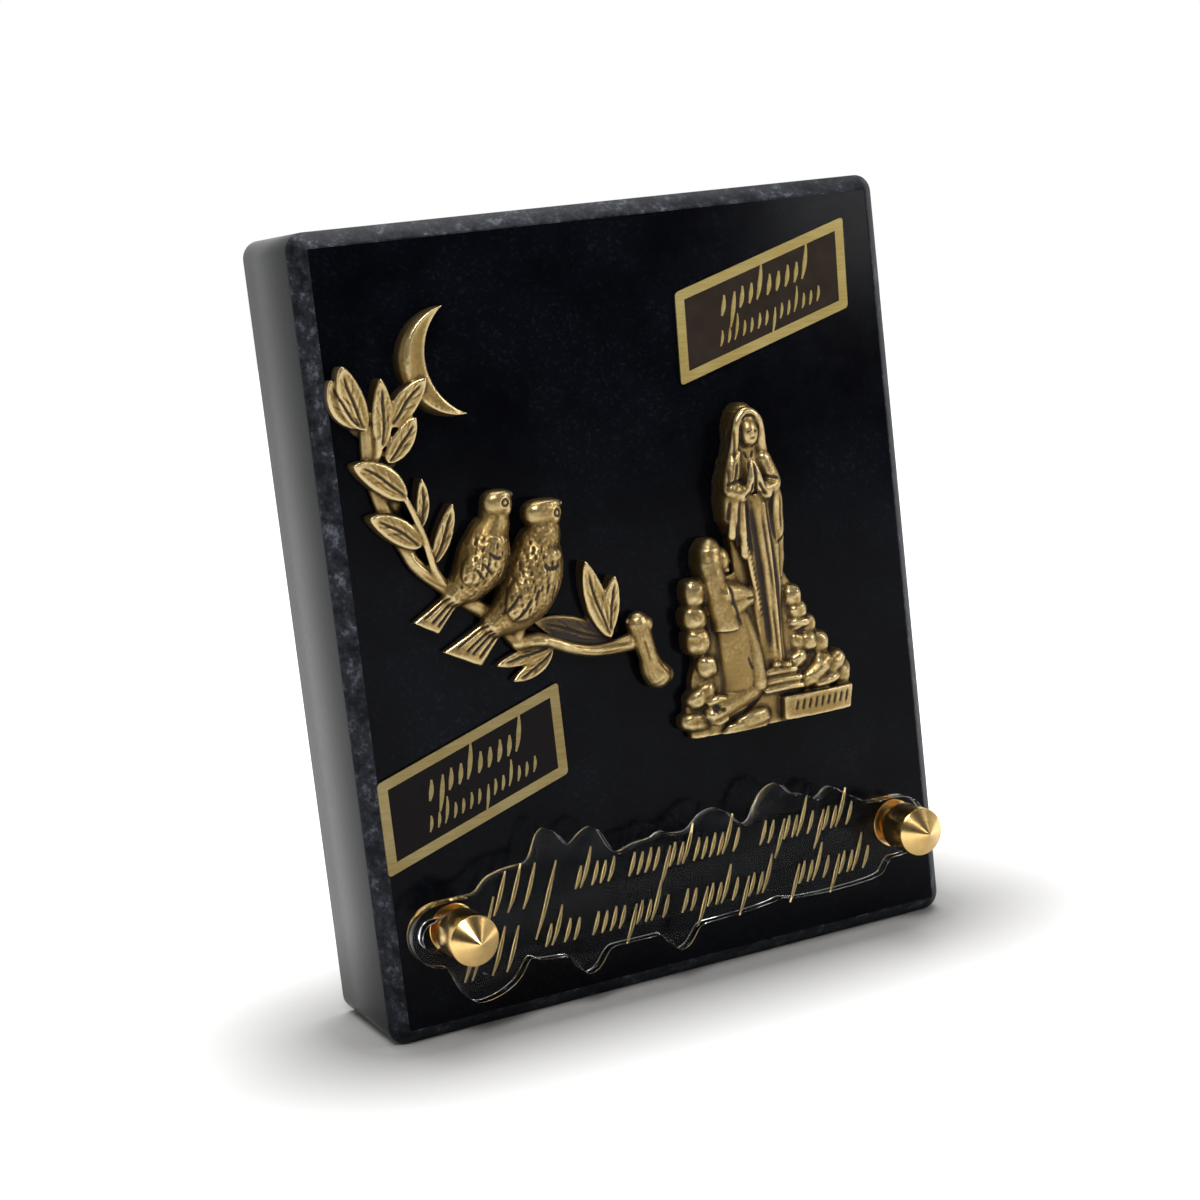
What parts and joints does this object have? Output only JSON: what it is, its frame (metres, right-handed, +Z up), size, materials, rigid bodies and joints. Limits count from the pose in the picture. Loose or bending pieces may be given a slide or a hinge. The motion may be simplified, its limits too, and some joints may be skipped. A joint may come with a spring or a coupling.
{
  "type": "memorial_plaque",
  "caption": "Black granite memorial plaque with bronze reliefs of birds on a twig and a veiled figure, foil labels and a clear inscription plate on brass standoffs",
  "frame": {"origin": "middle of the slab's underside, on the floor", "axes": "+Z up the height of the slab, +Y out of its plain back, so the decorated face looks along -Y; +X to the right as the face is read"},
  "size_m": [0.121, 0.0473, 0.15],
  "materials": {
    "granite": "polished black granite, chamfer and sides matt",
    "bronze": "cast bronze, dark patina in the recesses",
    "upper_foil": "metallic gold foil label with a dark field",
    "lower_foil": "duller gold foil label with a dark field",
    "acrylic": "clear acrylic, contour cut",
    "brass": "polished turned brass"
  },
  "bodies": {
    "root": {"granite_slab": "granite", "bird_branch_ornament": "bronze", "figure_group_ornament": "bronze", "upper_label": "upper_foil", "lower_label": "lower_foil", "inscription_plate": "acrylic", "left_screw": "brass", "right_screw": "brass", "left_spacer": "brass", "right_spacer": "brass"}
  },
  "joints": []
}
